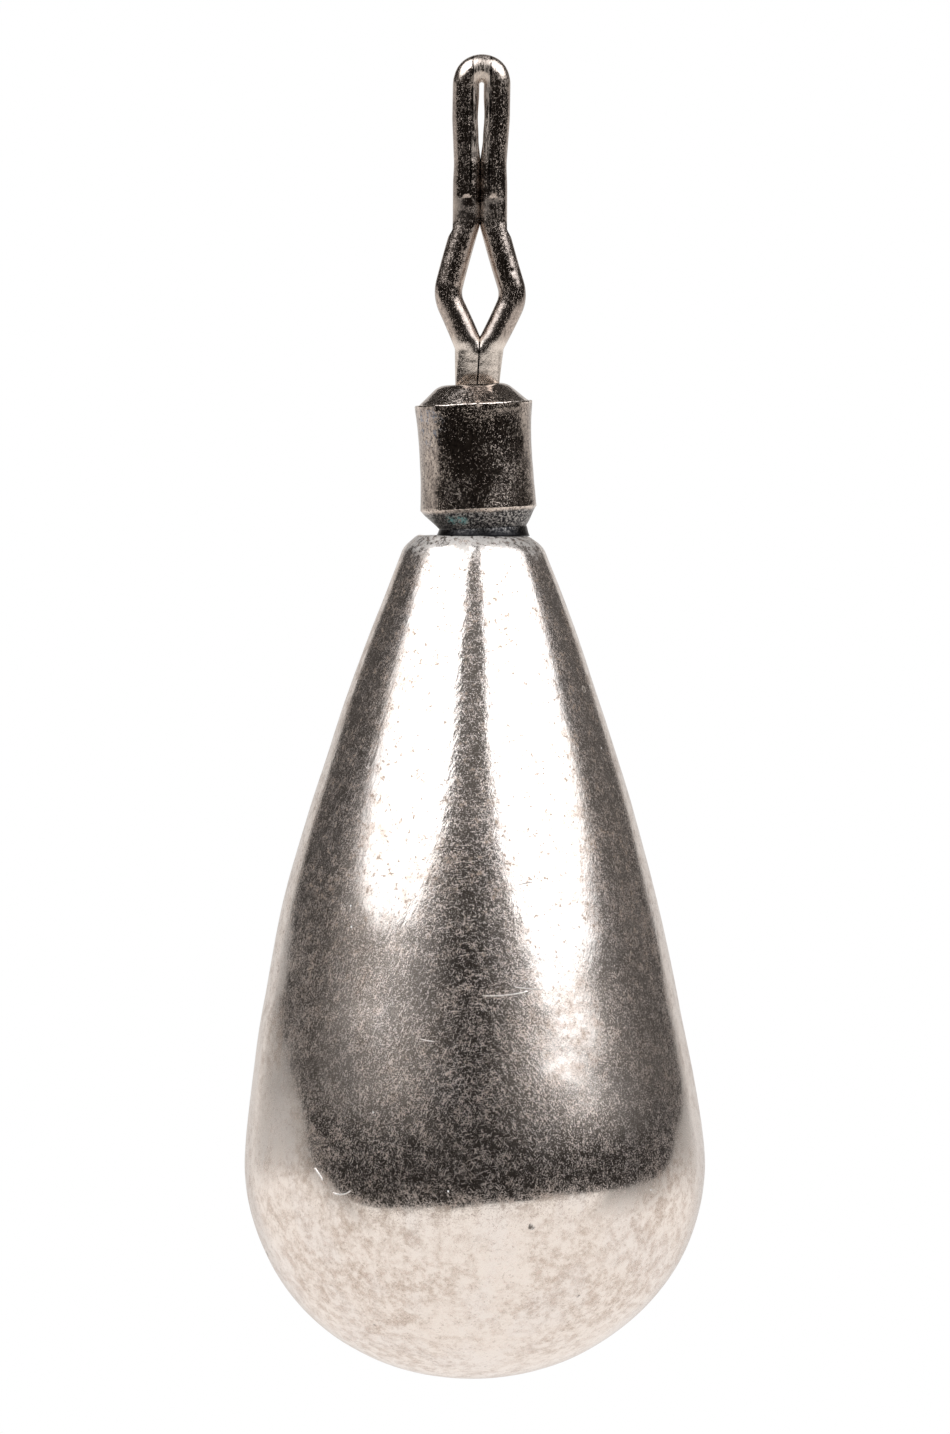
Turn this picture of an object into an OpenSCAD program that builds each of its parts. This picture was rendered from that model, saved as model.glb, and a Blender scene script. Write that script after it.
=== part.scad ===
// Teardrop drop-shot sinker: cast lead weight, barrel swivel and bent-wire line clip.
// It hangs on the fishing line, so +Z is up along the line. The origin is the point
// inside the top bend of the wire where the line bears. All lengths are in millimetres.

/* [Lead body] */
// Widest diameter of the teardrop
body_d = 11.4; // [9:0.1:14]
// Height of the teardrop from its flat top to its round bottom
body_h = 20.9; // [17:0.1:26]
// Height of the widest circle above the bottom
belly_h = 5.3; // [4:0.1:6.5]
// Diameter of the cone side where the rounded shoulder ends
shoulder_d = 3.6; // [3.2:0.1:4.2]
// Radius of the rounded shoulder round the flat top
shoulder_r = 0.65; // [0.4:0.05:0.8]
// Lean of the cone side from the vertical, just below the shoulder
side_angle = 22.5; // [18:0.5:26]

/* [Line clip] */
// Diameter of the clip's wire
wire_d = 0.66; // [0.56:0.01:0.72]
// Widest gap of the line slot, between the legs of the loop
slot_w = 0.13; // [0.08:0.01:0.25]
// Length of the line slot, from the top bend to where the legs meet
slot_l = 2.0; // [1.6:0.1:2.6]
// Length over which the legs lie together below the slot
pinch_l = 1.5; // [1.1:0.05:1.9]
// Gap left between the legs where they lie together
pinch_gap = 0.04; // [0.02:0.01:0.06]
// Widest gap of the diamond-shaped threading eye, at the corners of its sides
eye_w = 1.0; // [0.7:0.05:1.2]
// Height of the threading eye above its widest point
eye_upper_h = 1.8; // [1.5:0.05:2.2]
// Height of the threading eye below its widest point
eye_lower_h = 1.25; // [1.1:0.05:1.7]
// Width over both legs where they close under the threading eye
root_w = 1.18; // [1.1:0.01:1.22]
// Width over both legs where they enter the barrel
shank_w = 1.02; // [0.96:0.01:1.08]
// Length of the closed legs between the threading eye and the barrel
shank_l = 0.9; // [0.7:0.05:1.2]
// Radius of the bends at the slot and at both ends of the threading eye, at the centre line
bend_r = 0.45; // [0.4:0.01:0.5]
// Radius of the bends at the eye's widest point, at the centre line
eye_bend_r = 0.8; // [0.5:0.05:1]

/* [Swivel barrel] */
// Diameter of the rim under the domed top
rim_top_d = 2.86; // [2.8:0.01:3]
// Diameter of the waist, halfway between the rims
waist_d = 2.79; // [2.7:0.01:2.8]
// Diameter of the rim above the chamfered foot
rim_low_d = 2.89; // [2.82:0.01:3.05]
// Height between the two rims
rim_span = 2.6; // [2.2:0.05:3.2]
// Height of the domed top above its rim
dome_h = 0.51; // [0.4:0.01:0.6]
// Diameter of the dome's crown, where it starts to turn down
crown_d = 1.3; // [1.1:0.05:1.4]
// Radius of the turn from the crown into the cone that runs down to the rim
crown_bend_r = 0.45; // [0.35:0.01:0.5]
// Height of the foot's chamfer
chamfer_h = 0.4; // [0.3:0.01:0.5]
// Diameter of the foot under the chamfer
foot_d = 2.2; // [2.1:0.01:2.3]
// Diameter of the lip that ends the foot
lip_d = 2.32; // [2.3:0.01:2.45]
// Height of the lip
lip_h = 0.2; // [0.15:0.01:0.3]
// Thickness of the barrel's wall at the waist
barrel_wall = 0.3; // [0.25:0.01:0.35]
// Thickness of the top end, which the clip's head bears on
top_end_t = 0.38; // [0.34:0.01:0.45]

/* [Stems and heads] */
// Step from the pressed legs to the round neck inside the mouth
neck_step = 0.02; // [0.01:0.01:0.04]
// How far the pressed legs reach into the mouth before the neck is round
leg_sink = 0.1; // [0.06:0.01:0.15]
// How far the legs are forged into the round neck
forge_l = 0.15; // [0.1:0.01:0.2]
// Thickness of each head's straight edge
head_edge_h = 0.25; // [0.2:0.01:0.35]
// Height of each head's rounded end
head_dome_h = 0.3; // [0.2:0.01:0.4]

/* [Anchor eye] */
// Diameter of the anchor's wire
anchor_wire_d = 0.64; // [0.55:0.01:0.75]
// Outer diameter of the ring that is cast into the lead
ring_d = 3.1; // [2.7:0.05:3.4]
// Depth of the ring's centre below the top of the lead
ring_depth = 3.4; // [3:0.1:4.5]

/* [Fits] */
// Radial play of each stem in its mouth
mouth_play = 0.14; // [0.1:0.01:0.18]
// Gap left where the leaning barrel comes nearest to the other pieces
rub_gap = 0.04; // [0.03:0.01:0.05]
// Gap between the cast lead and the anchor in it
cast_gap = 0.02; // [0.01:0.01:0.04]

/* [Hidden] */

overrun = 0.5;
side_top_share = 0.52;
side_low_share = 0.08;
slot_straight_share = 0.6;
ring_fn = 96;
turn_fn = 128;
wire_sides = 20;
crown_steps = 9;
bend_steps = 5;
arc_steps = 8;
side_steps = 24;
belly_steps = 16;

wire_r = wire_d / 2;
slot_r = slot_w / 2;
neck_r = shank_w / 2 + neck_step;
mouth_r = neck_r + mouth_play;
bore_r = waist_d / 2 - barrel_wall;
foot_h = chamfer_h + lip_h;
barrel_h = dome_h + rim_span + foot_h;
barrel_half = barrel_h / 2;

// The barrel leans until its mouths nearly touch the stems.
lean = asin((mouth_play - rub_gap) / barrel_half);
inner_bevel = barrel_wall / 2;
head_reach = barrel_half - min(top_end_t, foot_h);
head_r = bore_r - head_reach * sin(lean) - rub_gap;
seat_gap = bore_r * sin(lean) + rub_gap;
foot_gap = lip_d / 2 * sin(lean) + rub_gap;

// Levels down the object
pinch_z = -slot_l;
eye_top_z = pinch_z - pinch_l;
eye_mid_z = eye_top_z - eye_upper_h;
root_z = eye_mid_z - eye_lower_h;
barrel_top_z = root_z - shank_l;
barrel_mid_z = barrel_top_z - barrel_half;
barrel_low_z = barrel_top_z - barrel_h;
neck_top_z = barrel_top_z - leg_sink;
clip_seat_z = barrel_top_z - top_end_t - seat_gap;
anchor_seat_z = barrel_low_z + foot_h + seat_gap;
body_top_z = barrel_low_z - foot_gap;
ring_z = body_top_z - ring_depth;

// Points of an arc about [cx, cz] in the plane of a profile
function arc(cx, cz, r, from, to, steps) =
    [for (i = [0:steps]) let (a = from + (to - from) * i / steps)
        [cx + r * cos(a), cz + r * sin(a)]];

// Point of a cubic curve between p and s, with handles q and r
function curve_at(p, q, r, s, t) =
    pow(1 - t, 3) * p + 3 * pow(1 - t, 2) * t * q + 3 * (1 - t) * t * t * r + pow(t, 3) * s;

// Shallow arc from p to s that bulges by sag to the left of its direction
function bow(p, s, sag, steps) =
    let (d = s - p, side = [-d[1], d[0]] / norm(d))
    [for (i = [0:steps]) let (t = i / steps) p + d * t + side * 4 * sag * t * (1 - t)];

// Line clip
loop_x = slot_r + wire_r;
pinch_x = pinch_gap / 2 + wire_r;
eye_x = eye_w / 2 + wire_r;
root_x = root_w / 2 - wire_r;
shank_x = shank_w / 2 - wire_r;

// Corners [x, z, bend radius] of the right leg's centre line, from the top bend down into the neck
leg = [
    [loop_x, -slot_r, 0],
    [loop_x, pinch_z * slot_straight_share, bend_r],
    [pinch_x, pinch_z, bend_r],
    [pinch_x, eye_top_z, bend_r],
    [eye_x, eye_mid_z, eye_bend_r],
    [root_x, root_z, bend_r],
    [shank_x, neck_top_z - forge_l, 0]
];

function heading(p, q) = atan2(q[1] - p[1], q[0] - p[0]);

// Stations [x, z, heading] round the corner at q, on a bend of its own radius
function corner(p, q, s) =
    let (a = heading(p, q), turn = heading(q, s) - a, hand = sign(turn) * q[2],
         back = q[2] * tan(abs(turn) / 2),
         centre = [q[0], q[1]] - back * [cos(a), sin(a)] + hand * [-sin(a), cos(a)])
    [for (i = [0:bend_steps]) let (b = a + turn * i / bend_steps)
        [each (centre + hand * [sin(b), -cos(b)]), b]];

crown_stations = [for (i = [0:crown_steps]) let (a = 90 * i / crown_steps)
    [loop_x * sin(a), loop_x * cos(a) - slot_r, -a]];
last = len(leg) - 1;
right_stations = [
    each crown_stations,
    for (i = [1:last - 1]) each corner(leg[i - 1], leg[i], leg[i + 1]),
    [leg[last][0], leg[last][1], heading(leg[last - 1], leg[last])]
];
left_stations = [for (i = [len(right_stations) - 1:-1:1]) let (s = right_stations[i])
    [-s[0], s[1], -s[2]]];
stations = concat(left_stations, right_stations);

// Round section of the wire at a station, pressed flat where it meets the other leg
function pressed(x, side) = side == 0 ? x : side * max(side * x, pinch_gap / 2);
function section(s) = [for (k = [0:wire_sides - 1])
    let (a = 360 * k / wire_sides, out = wire_r * cos(a), side = s[1] < -slot_r ? sign(s[0]) : 0)
    [pressed(s[0] - out * sin(s[2]), side), wire_r * sin(a), s[1] + out * cos(s[2])]];

module bent_wire() {
    points = [for (s = stations) each section(s)];
    rings = len(stations);
    skin = [for (i = [0:rings - 2], k = [0:wire_sides - 1])
        let (a = i * wire_sides + k, b = i * wire_sides + (k + 1) % wire_sides)
        each [[a, b, b + wire_sides], [a, b + wire_sides, a + wire_sides]]];
    first_end = [for (k = [wire_sides - 1:-1:0]) k];
    last_end = [for (k = [0:wire_sides - 1]) (rings - 1) * wire_sides + k];
    polyhedron(points, concat(skin, [first_end, last_end]), convexity = 6);
}

// Neck and formed head of a stem, hanging from z = 0 with the head's seat at z = -seat
module headed_neck(seat) {
    rotate_extrude($fn = ring_fn)
        polygon([
            [0, 0],
            [neck_r, 0],
            [neck_r, -seat],
            [head_r - inner_bevel, -seat],
            [head_r, -seat - inner_bevel],
            for (i = [0:arc_steps]) let (a = 90 * i / arc_steps)
                [head_r * cos(a), -seat - inner_bevel - head_edge_h - head_dome_h * sin(a)]
        ]);
}

module line_clip() {
    color([0.36, 0.32, 0.29]) {
        bent_wire();
        translate([0, 0, neck_top_z]) headed_neck(neck_top_z - clip_seat_z);
    }
}

// Swivel barrel, about its own middle
module barrel_profile() {
    top = barrel_half;
    rim_top = top - dome_h;
    rim_low = rim_top - rim_span;
    low = -barrel_half;
    crown_r = crown_d / 2;
    turn_z = top - crown_bend_r;
    mouth_a = acos((mouth_r - crown_r) / crown_bend_r);
    // the cone is the line from the rim that just touches the turn
    reach = [rim_top_d / 2 - crown_r, rim_top - turn_z];
    cone_a = atan2(reach[1], reach[0]) + acos(crown_bend_r / norm(reach));
    waist_sag = (rim_top_d + rim_low_d) / 4 - waist_d / 2;
    polygon([
        each arc(crown_r, turn_z, crown_bend_r, mouth_a, cone_a, arc_steps),
        each bow([rim_top_d / 2, rim_top], [rim_low_d / 2, rim_low], -waist_sag, arc_steps),
        [foot_d / 2, rim_low - chamfer_h],
        [lip_d / 2, low],
        [mouth_r, low],
        [mouth_r, low + foot_h],
        [bore_r - inner_bevel, low + foot_h],
        [bore_r, low + foot_h + inner_bevel],
        [bore_r, top - top_end_t - inner_bevel],
        [bore_r - inner_bevel, top - top_end_t],
        [mouth_r, top - top_end_t]
    ]);
}

module swivel_barrel() {
    color([0.34, 0.31, 0.29])
        translate([0, 0, barrel_mid_z])
        rotate([0, -lean, 0])
        rotate_extrude($fn = ring_fn) barrel_profile();
}

// Anchor eye: ring, stem and head. The grown copy is the hollow that it leaves in the lead.
module anchor_ring(grow) {
    wire = anchor_wire_d / 2;
    translate([0, 0, ring_z])
        rotate([90, 0, 0])
        rotate_extrude($fn = ring_fn)
        translate([ring_d / 2 - wire, 0]) circle(r = wire + grow, $fn = ring_fn);
}

module anchor_stem(grow, top_z) {
    low_z = ring_z + ring_d / 2 - anchor_wire_d / 2 - grow;
    translate([0, 0, low_z]) cylinder(r = neck_r + grow, h = top_z - low_z, $fn = ring_fn);
}

module anchor_eye() {
    color([0.45, 0.43, 0.4]) {
        anchor_ring(0);
        anchor_stem(0, body_top_z);
        translate([0, 0, body_top_z]) mirror([0, 0, 1]) headed_neck(anchor_seat_z - body_top_z);
    }
}

// Lead body, from its flat top down
module body_profile() {
    top_r = shoulder_d / 2;
    shoulder_z = -shoulder_r * (1 - sin(side_angle));
    belly_z = belly_h - body_h;
    fall = shoulder_z - belly_z;
    start = [top_r, shoulder_z];
    end = [body_d / 2, belly_z];
    leave = start + side_top_share * fall * [tan(side_angle), -1];
    arrive = end + [0, side_low_share * fall];
    polygon([
        [0, 0],
        each arc(top_r - shoulder_r * cos(side_angle), -shoulder_r, shoulder_r, 90, side_angle, arc_steps),
        for (i = [1:side_steps]) curve_at(start, leave, arrive, end, i / side_steps),
        for (i = [1:belly_steps]) let (a = 90 * i / belly_steps)
            [body_d / 2 * cos(a), belly_z - belly_h * sin(a)]
    ]);
}

module sinker_body() {
    color([0.72, 0.69, 0.66])
        difference() {
            translate([0, 0, body_top_z]) rotate_extrude($fn = turn_fn) body_profile();
            anchor_ring(cast_gap);
            anchor_stem(cast_gap, body_top_z + overrun);
        }
}

line_clip();
swivel_barrel();
anchor_eye();
sinker_body();
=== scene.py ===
import math

import bmesh
import bpy
from mathutils import Matrix, Vector, noise


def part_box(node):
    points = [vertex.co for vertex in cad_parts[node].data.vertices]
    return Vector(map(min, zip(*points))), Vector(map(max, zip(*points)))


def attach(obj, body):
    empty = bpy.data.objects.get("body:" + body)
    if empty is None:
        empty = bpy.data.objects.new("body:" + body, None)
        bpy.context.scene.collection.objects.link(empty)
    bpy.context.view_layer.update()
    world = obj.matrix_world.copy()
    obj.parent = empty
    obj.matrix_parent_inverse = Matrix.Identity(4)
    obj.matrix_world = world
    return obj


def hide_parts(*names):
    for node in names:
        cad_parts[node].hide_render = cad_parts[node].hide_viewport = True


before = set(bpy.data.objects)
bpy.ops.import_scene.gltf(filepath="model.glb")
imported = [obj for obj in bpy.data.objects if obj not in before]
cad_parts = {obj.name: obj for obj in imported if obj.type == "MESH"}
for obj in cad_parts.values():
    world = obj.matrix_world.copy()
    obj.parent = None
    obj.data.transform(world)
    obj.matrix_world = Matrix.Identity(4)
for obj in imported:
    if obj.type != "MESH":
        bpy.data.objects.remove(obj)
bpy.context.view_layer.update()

mm = 0.001
perMm = 1 / mm

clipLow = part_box("line_clip")[0]
barrelLow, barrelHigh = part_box("swivel_barrel")
leadLow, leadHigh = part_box("sinker_body")
# how far the barrel and the clip's loop lean, in degrees
barrelLean = 3.09
clipLean = 0.75


class Net:
    # a network of shader nodes: arguments are sockets, numbers or colours, and results are sockets
    def __init__(self, owner):
        owner.use_nodes = True
        self.tree = owner.node_tree
        self.tree.nodes.clear()

    def feed(self, value, socket):
        if isinstance(value, bpy.types.NodeSocket):
            self.tree.links.new(value, socket)
        else:
            socket.default_value = value

    def node(self, kind, sockets=None, **settings):
        made = self.tree.nodes.new("ShaderNode" + kind)
        for name, value in settings.items():
            setattr(made, name, value)
        for name, value in (sockets or {}).items():
            self.feed(value, made.inputs[name])
        return made

    def maths(self, operation, a, b=0.0):
        return self.node("Math", {0: a, 1: b}, operation=operation).outputs[0]

    def plus(self, a, b):
        return self.maths("ADD", a, b)

    def minus(self, a, b):
        return self.maths("SUBTRACT", a, b)

    def most(self, a, b):
        return self.maths("MAXIMUM", a, b)

    def unsigned(self, a):
        return self.maths("ABSOLUTE", a)

    def times(self, first, *others):
        for other in others:
            first = self.maths("MULTIPLY", first, other)
        return first

    def remap(self, value, low, high, toLow=0.0, toHigh=1.0, kind="SMOOTHSTEP"):
        limits = {"Value": value, "From Min": low, "From Max": high, "To Min": toLow, "To Max": toHigh}
        return self.node("MapRange", limits, interpolation_type=kind).outputs["Result"]

    def curve(self, value, stops):
        # a smooth line through (where, height) stops, both counted from 0 to 1
        made = self.node("FloatCurve", {"Value": value})
        line = made.mapping.curves[0]
        line.points[0].location = stops[0]
        line.points[1].location = stops[-1]
        for stop in stops[1:-1]:
            line.points.new(*stop)
        made.mapping.update()
        return made.outputs[0]

    def mix(self, share, a, b, blend="MIX"):
        return self.node("Mix", {0: share, 6: a, 7: b}, data_type="RGBA", blend_type=blend).outputs[2]

    def vector(self, operation, a, b=(0, 0, 0), result="Vector"):
        return self.node("VectorMath", {0: a, 1: b}, operation=operation).outputs[result]

    def axes(self, place):
        return self.node("SeparateXYZ", {"Vector": place}).outputs

    def noise(self, place, scale, detail=2.0, roughness=0.5):
        wanted = {"Vector": place, "Scale": scale, "Detail": detail, "Roughness": roughness}
        return self.node("TexNoise", wanted).outputs["Fac"]

    def grain(self, place, repeats, detail=2.0, roughness=0.5):
        # even noise, with so many repeats in a millimetre
        return self.noise(place, repeats * perMm, detail, roughness)

    def streaks(self, place, cell, detail=2.0, roughness=0.5, turn=0.0):
        # noise drawn out to a cell's size, in millimetres on each axis, and tipped by turning about Y
        wanted = {"Vector": place, "Scale": Vector(cell) * mm, "Rotation": (0, math.radians(turn), 0)}
        cells = self.node("Mapping", wanted, vector_type="TEXTURE").outputs[0]
        return self.noise(cells, 1.0, detail, roughness)

    def ramp(self, axis, start, end, toLow=0.0, toHigh=1.0):
        # a smooth change along an axis, from start to end in millimetres
        return self.remap(axis, start * mm, end * mm, toLow, toHigh)

    def band(self, off, whole, gone, strength=1.0):
        # a line where off is zero: whole up to one distance and gone at another, in millimetres
        return self.ramp(self.unsigned(off), whole, gone, strength, 0.0)

    def dots(self, place, spacing, radius, share):
        # a share of the cells of an uneven grid holds a dot; spacing and radius are in millimetres
        limit = {"cut": 0.01, "wholeShare": 0.6}
        found = self.node("TexVoronoi", {"Vector": place, "Scale": perMm / spacing})
        chosen = self.remap(self.axes(found.outputs["Color"])["X"], share, share - limit["cut"])
        reach = radius / spacing
        spot = self.remap(found.outputs["Distance"], reach, reach * limit["wholeShare"])
        return self.times(spot, chosen)

    def hairs(self, place, width, length, turns):
        # fine crossing strokes
        found = None
        for turn in turns:
            strokes = self.streaks(place, (width, width, length), 1, turn=turn)
            found = strokes if found is None else self.most(found, strokes)
        return found

    def spot(self, place, centre, near, far):
        # 1 around a point, fading out from near to far, all in millimetres
        reach = self.vector("DISTANCE", place, Vector(centre) * mm, "Value")
        return self.remap(reach, near * mm, far * mm, 1.0, 0.0)

    def scratch(self, axes, x, z, radius, towards, span, width):
        # an arc on the front through (x, z), bent round a centre that lies in the direction towards
        limit = {"wholeShare": 0.35, "endShare": 0.5, "nearSide": (0.0, -0.01), "front": (-0.1, -0.4)}
        a = math.radians(towards)
        offX = self.minus(axes["X"], (x + radius * math.cos(a)) * mm)
        offZ = self.minus(axes["Z"], (z + radius * math.sin(a)) * mm)
        away = self.maths("SQRT", self.plus(self.times(offX, offX), self.times(offZ, offZ)))
        line = self.band(self.minus(away, radius * mm), 0.0, width)
        along = self.minus(self.times(offX, math.sin(a)), self.times(offZ, math.cos(a)))
        ends = self.band(along, span * limit["wholeShare"], span * limit["endShare"])
        across = self.plus(self.times(offX, math.cos(a)), self.times(offZ, math.sin(a)))
        nearSide = self.ramp(across, *limit["nearSide"])
        return self.times(line, ends, nearSide, self.ramp(axes["Y"], *limit["front"]))

    def bump(self, height, distance, under=None):
        # distance in millimetres
        made = self.node("Bump", {"Height": height, "Distance": distance * mm, "Strength": 1.0})
        if under is not None:
            self.feed(under, made.inputs["Normal"])
        return made.outputs["Normal"]


def newMetal(name):
    material = bpy.data.materials.new(name)
    net = Net(material)
    shader = net.node("BsdfPrincipled", {"Metallic": 1.0})
    net.node("OutputMaterial", {"Surface": shader.outputs[0]})
    place = net.node("TexCoord").outputs["Object"]
    return material, net, shader, place


def finish(net, shader, **values):
    names = {"colour": "Base Color", "rough": "Roughness", "metal": "Metallic", "normal": "Normal"}
    for name, value in values.items():
        net.feed(value, shader.inputs[names[name]])


# Finishes
def castLead():
    # noise is given as repeats in a millimetre or a cell, detail and roughness; heights in millimetres
    look = {
        "clean": (0.87, 0.81, 0.755, 1), "stain": (0.47, 0.395, 0.325, 1), "cool": (0.80, 0.81, 0.84, 1),
        "mark": (0.98, 0.82, 0.75, 1), "pit": (0.16, 0.13, 0.10, 1), "rust": (0.30, 0.215, 0.15, 1),
        "crust": (0.56, 0.54, 0.51, 1), "dust": (0.95, 0.94, 0.92, 1),
        "smooth": 0.08, "rough": 0.39, "dull": 0.15,
        "clouds": (0.45, 5, 0.6), "mottle": (3.2, 6, 0.78), "middle": 0.5,
        "stainClouds": (0.28, 0.60), "stainMottle": (0.40, 0.66), "stainRough": 0.04,
        "coolPatches": ((1.1, 1.1, 2.8), 3), "coolRange": (0.46, 0.62, 0.0, 0.15),
        # fine marks (width, length and turns), fewer where the upper part is rubbed smoother
        "hairs": (0.023, 0.2, (22, -38, 80)), "hairShare": 0.6,
        "grain": (44, 2, 0.65), "grainHeight": 0.0003, "cloudLift": 0.1, "mottleLift": 0.32,
        "markRange": (0.57, 0.72), "markCover": 0.6, "rubbed": (-18.5, -14.0, 1.0, 0.85),
        # a feathery skin and freckles, both fainter on the belly
        "feather": ((0.1, 0.1, 0.45), 3, 0.6, 14), "featherHeight": 0.0045, "freckles": (11, 3, 0.6),
        "freckleRange": (0.545, 0.63), "freckleMottle": (0.46, 0.54), "freckleCover": 0.8,
        "freckleDull": 0.7, "belly": (-25.0, -20.0), "bellyFreckles": 0.3, "bellyFeather": 0.25,
        "pits": (1.3, 0.1, 0.2), "pitMottle": (0.45, 0.52), "pitDepth": 0.02,
        "crustDepth": 0.6, "crustWhole": 0.06, "crustRagged": 2.2, "crustGrain": (7, 4, 0.7),
        "crustRange": (0.36, 0.54), "crustCover": 0.8, "crustRough": 0.5, "crustDull": 0.5,
        "dustSpecks": (0.62, 0.035, 0.16), "cutCover": 0.7, "cutRough": 0.8,
    }
    # scratches on the front: x, z, bend radius, side of the bend, length and width
    scratches = [
        (0.74, -22.44, 4.0, 95, 1.2, 0.022), (1.33, -22.28, 6.0, 85, 0.7, 0.018),
        (1.25, -19.72, 3.0, 100, 0.35, 0.018), (-1.14, -23.55, 3.0, 80, 0.35, 0.016),
        (-3.78, -26.88, 2.0, 215, 0.42, 0.026), (-3.2, -27.35, 0.4, 100, 0.5, 0.022),
    ]
    material, net, shader, place = newMetal("castLead")
    axes = net.axes(place)
    cloudy = net.grain(place, *look["clouds"])
    mottle = net.grain(place, *look["mottle"])
    uneven = net.minus(mottle, look["middle"])
    found = net.times(net.hairs(place, *look["hairs"]), look["hairShare"])
    found = net.plus(found, net.times(net.grain(place, *look["grain"]), 1 - look["hairShare"]))
    lift = net.plus(net.times(cloudy, look["cloudLift"]), net.times(uneven, look["mottleLift"]))
    marks = net.remap(net.plus(found, lift), *look["markRange"])
    marks = net.times(marks, net.ramp(axes["Z"], *look["rubbed"]))
    stained = net.times(net.remap(cloudy, *look["stainClouds"]), net.remap(mottle, *look["stainMottle"]))
    colour = net.mix(stained, look["clean"], look["stain"])
    cool = net.remap(net.streaks(place, *look["coolPatches"]), *look["coolRange"])
    colour = net.mix(cool, colour, look["cool"])
    colour = net.mix(net.times(marks, look["markCover"]), colour, look["mark"])
    freckles = net.remap(net.grain(place, *look["freckles"]), *look["freckleRange"])
    freckles = net.times(freckles, net.remap(mottle, *look["freckleMottle"]))
    freckles = net.times(freckles, net.ramp(axes["Z"], *look["belly"], look["bellyFreckles"], 1.0))
    colour = net.mix(net.times(freckles, look["freckleCover"]), colour, look["rust"])
    pits = net.times(net.dots(place, *look["pits"]), net.remap(mottle, *look["pitMottle"]))
    colour = net.mix(pits, colour, look["pit"])
    # a grey crust where the lead froze against the swivel, ragged downwards
    under = net.plus(net.minus(axes["Z"], leadHigh.z), net.times(uneven, look["crustRagged"] * mm))
    crust = net.ramp(under, -look["crustDepth"], -look["crustWhole"])
    crust = net.times(crust, net.remap(net.grain(place, *look["crustGrain"]), *look["crustRange"]))
    colour = net.mix(net.times(crust, look["crustCover"]), colour, look["crust"])
    cut = net.scratch(axes, *scratches[0])
    for scratch in scratches[1:]:
        cut = net.most(cut, net.scratch(axes, *scratch))
    dust = net.most(net.times(cut, look["cutCover"]), net.dots(place, *look["dustSpecks"]))
    colour = net.mix(dust, colour, look["dust"])
    rough = net.remap(marks, 0, 1, look["smooth"], look["rough"], "LINEAR")
    rough = net.most(rough, net.times(crust, look["crustRough"]))
    rough = net.most(rough, net.times(cut, look["cutRough"]))
    rough = net.plus(rough, net.times(stained, look["stainRough"]))
    feather = net.streaks(place, *look["feather"])
    feather = net.times(feather, net.ramp(axes["Z"], *look["belly"], look["bellyFeather"], 1.0))
    normal = net.bump(feather, look["featherHeight"])
    normal = net.bump(marks, look["grainHeight"], normal)
    normal = net.bump(net.minus(cut, pits), look["pitDepth"], normal)
    dull = net.most(net.times(marks, look["dull"]), net.times(freckles, look["freckleDull"]))
    dull = net.most(net.most(dull, pits), net.most(net.times(crust, look["crustDull"]), dust))
    finish(net, shader, colour=colour, rough=rough, metal=net.minus(1.0, dull), normal=normal)
    return material


def blackNickel(name, turns, bare):
    # thin black nickel over brass: returns the parts that each piece's own finish goes on from
    look = {
        "plate": (0.40, 0.345, 0.31, 1), "worn": (0.92, 0.79, 0.69, 1), "smooth": 0.09, "rough": 0.4,
        "hairWidth": 0.03, "hairLength": 0.1, "grain": (36, 2, 0.65), "grainHeight": 0.001,
        "patches": (1.7, 5, 0.65), "patchLift": 0.35, "markRun": 0.14, "markCover": 0.8,
        "waves": (5, 3, 0.5), "waveHeight": 0.008,
    }
    material, net, shader, place = newMetal(name)
    patch = net.grain(place, *look["patches"])
    found = net.hairs(place, look["hairWidth"], look["hairLength"], turns)
    found = net.most(found, net.grain(place, *look["grain"]))
    found = net.plus(found, net.times(patch, look["patchLift"]))
    marks = net.remap(found, bare, bare + look["markRun"])
    normal = net.bump(net.grain(place, *look["waves"]), look["waveHeight"])
    finish(net, shader, normal=net.bump(marks, look["grainHeight"], normal))
    colour = net.mix(net.times(marks, look["markCover"]), look["plate"], look["worn"])
    rough = net.remap(marks, 0, 1, look["smooth"], look["rough"], "LINEAR")
    return material, net, shader, place, patch, colour, rough


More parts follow.
